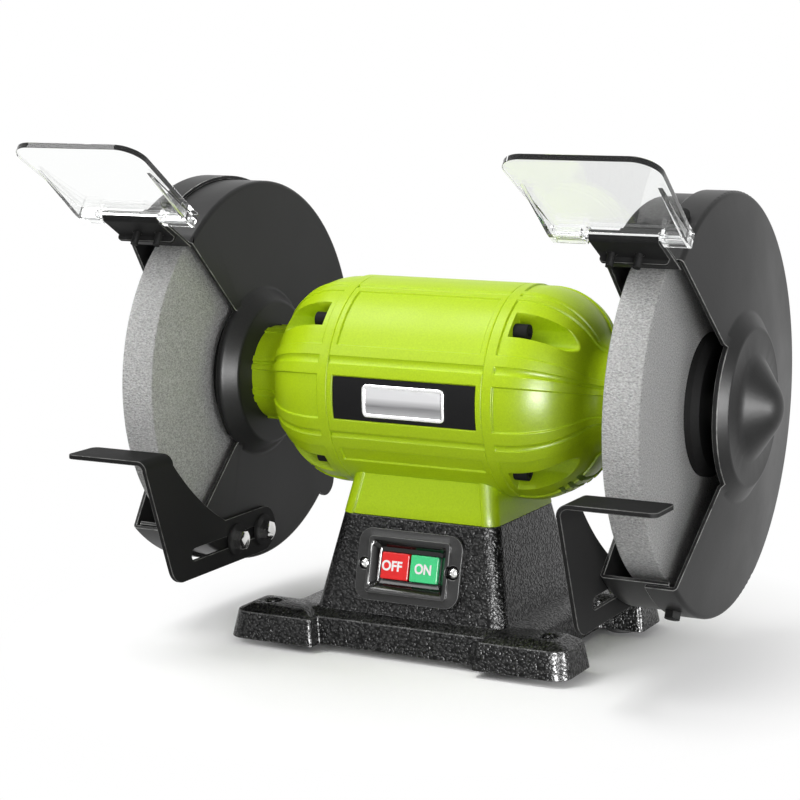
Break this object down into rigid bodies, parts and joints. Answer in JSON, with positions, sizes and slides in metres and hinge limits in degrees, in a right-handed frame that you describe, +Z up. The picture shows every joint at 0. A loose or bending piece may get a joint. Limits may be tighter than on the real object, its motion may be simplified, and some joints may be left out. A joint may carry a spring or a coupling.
{
  "type": "bench grinder",
  "caption": "Bench grinder on a cast pedestal: ribbed motor between guarded abrasive wheels, with tool rests, clear tilting eye shields and a push-button switch.",
  "frame": {"origin": "centre of the bench bolt pattern, on the plane of the rubber feet", "axes": "+X along the shaft to the right-hand wheel, -Y towards the operator, +Z up"},
  "size_m": [0.3802, 0.2753, 0.2779],
  "materials": {
    "black_casting": "wrinkle paint",
    "steel_sheet": "plain",
    "zinc_steel": "zinc plated",
    "rubber": "matt",
    "black_plastic": "matt",
    "can": "drawn",
    "switch_plastic": "fine grain",
    "chrome": "bright",
    "red_plastic": "gloss",
    "green_plastic": "gloss",
    "lime_paint": "satin paint with fine grain",
    "black_label": "satin",
    "laminations": "laminated",
    "copper": "varnished wire",
    "ground_steel": "ground",
    "abrasive": "open grain",
    "black_steel": "satin",
    "grey_paint": "satin",
    "clear_plastic": "clear"
  },
  "bodies": {
    "frame": {"base_casting": "black_casting", "bottom_plate": "steel_sheet", "bottom_plate_screws": "zinc_steel", "rubber_feet": "rubber", "cord_gland": "black_plastic", "capacitor": "can", "switch_plate": "switch_plastic", "switch_screws": "chrome", "switch_body": "black_plastic", "motor_housing": "lime_paint", "neck_bolts": "zinc_steel", "nameplate": "black_label", "stator_core": "laminations", "stator_winding": "copper", "left_end_bell": "lime_paint", "right_end_bell": "lime_paint", "left_bell_screws": "black_steel", "right_bell_screws": "black_steel", "left_bearing_outer_ring": "ground_steel", "right_bearing_outer_ring": "ground_steel", "left_bearing_balls": "ground_steel", "right_bearing_balls": "ground_steel", "left_wheel_guard": "grey_paint", "right_wheel_guard": "grey_paint", "left_guard_screws": "zinc_steel", "right_guard_screws": "zinc_steel", "left_guard_cover": "grey_paint", "right_guard_cover": "grey_paint", "left_cover_bolts": "black_steel", "right_cover_bolts": "black_steel", "left_rest_bolts": "chrome", "right_rest_bolts": "chrome", "left_rest_washers": "black_steel", "right_rest_washers": "black_steel", "left_shield_bracket": "black_steel", "right_shield_bracket": "black_steel", "left_bracket_screws": "black_steel", "right_bracket_screws": "black_steel", "left_hinge_rod": "ground_steel", "right_hinge_rod": "ground_steel"},
    "rotor": {"shaft": "ground_steel", "rotor_core": "laminations", "left_bearing_inner_ring": "ground_steel", "right_bearing_inner_ring": "ground_steel", "left_inner_flange": "black_steel", "right_inner_flange": "black_steel", "left_grinding_wheel": "abrasive", "right_grinding_wheel": "abrasive", "left_outer_flange": "black_steel", "right_outer_flange": "black_steel", "left_wheel_nut": "black_steel", "right_wheel_nut": "black_steel"},
    "left_rest": {"left_tool_rest": "black_steel"},
    "right_rest": {"right_tool_rest": "black_steel"},
    "left_shield": {"left_eye_shield": "clear_plastic"},
    "right_shield": {"right_eye_shield": "clear_plastic"},
    "off_push": {"off_button": "red_plastic"},
    "on_push": {"on_button": "green_plastic"}
  },
  "joints": [
    {"name": "rotor_spin", "type": "hinge", "parent": "frame", "child": "rotor", "pos_m": [0, 0, 0.142], "axis": [1, 0, 0], "continuous": true},
    {"name": "left_shield_tilt", "type": "hinge", "parent": "frame", "child": "left_shield", "pos_m": [-0.14075, -0.09939, 0.2361], "axis": [-1, 0, 0], "range_deg": [-25, 60]},
    {"name": "left_rest_slide", "type": "slide", "parent": "frame", "child": "left_rest", "axis": [0, 1, 0], "range_m": [0, 0.0035]},
    {"name": "right_shield_tilt", "type": "hinge", "parent": "frame", "child": "right_shield", "pos_m": [0.14075, -0.09939, 0.2361], "axis": [-1, 0, 0], "range_deg": [-25, 60]},
    {"name": "right_rest_slide", "type": "slide", "parent": "frame", "child": "right_rest", "axis": [0, 1, 0], "range_m": [0, 0.0035]},
    {"name": "off_press", "type": "slide", "parent": "frame", "child": "off_push", "axis": [0, 0.9738, -0.2273], "range_m": [0, 0.0025], "stiffness_N_per_m": 600},
    {"name": "on_press", "type": "slide", "parent": "frame", "child": "on_push", "axis": [0, 0.9738, -0.2273], "range_m": [0, 0.0025], "stiffness_N_per_m": 600}
  ]
}
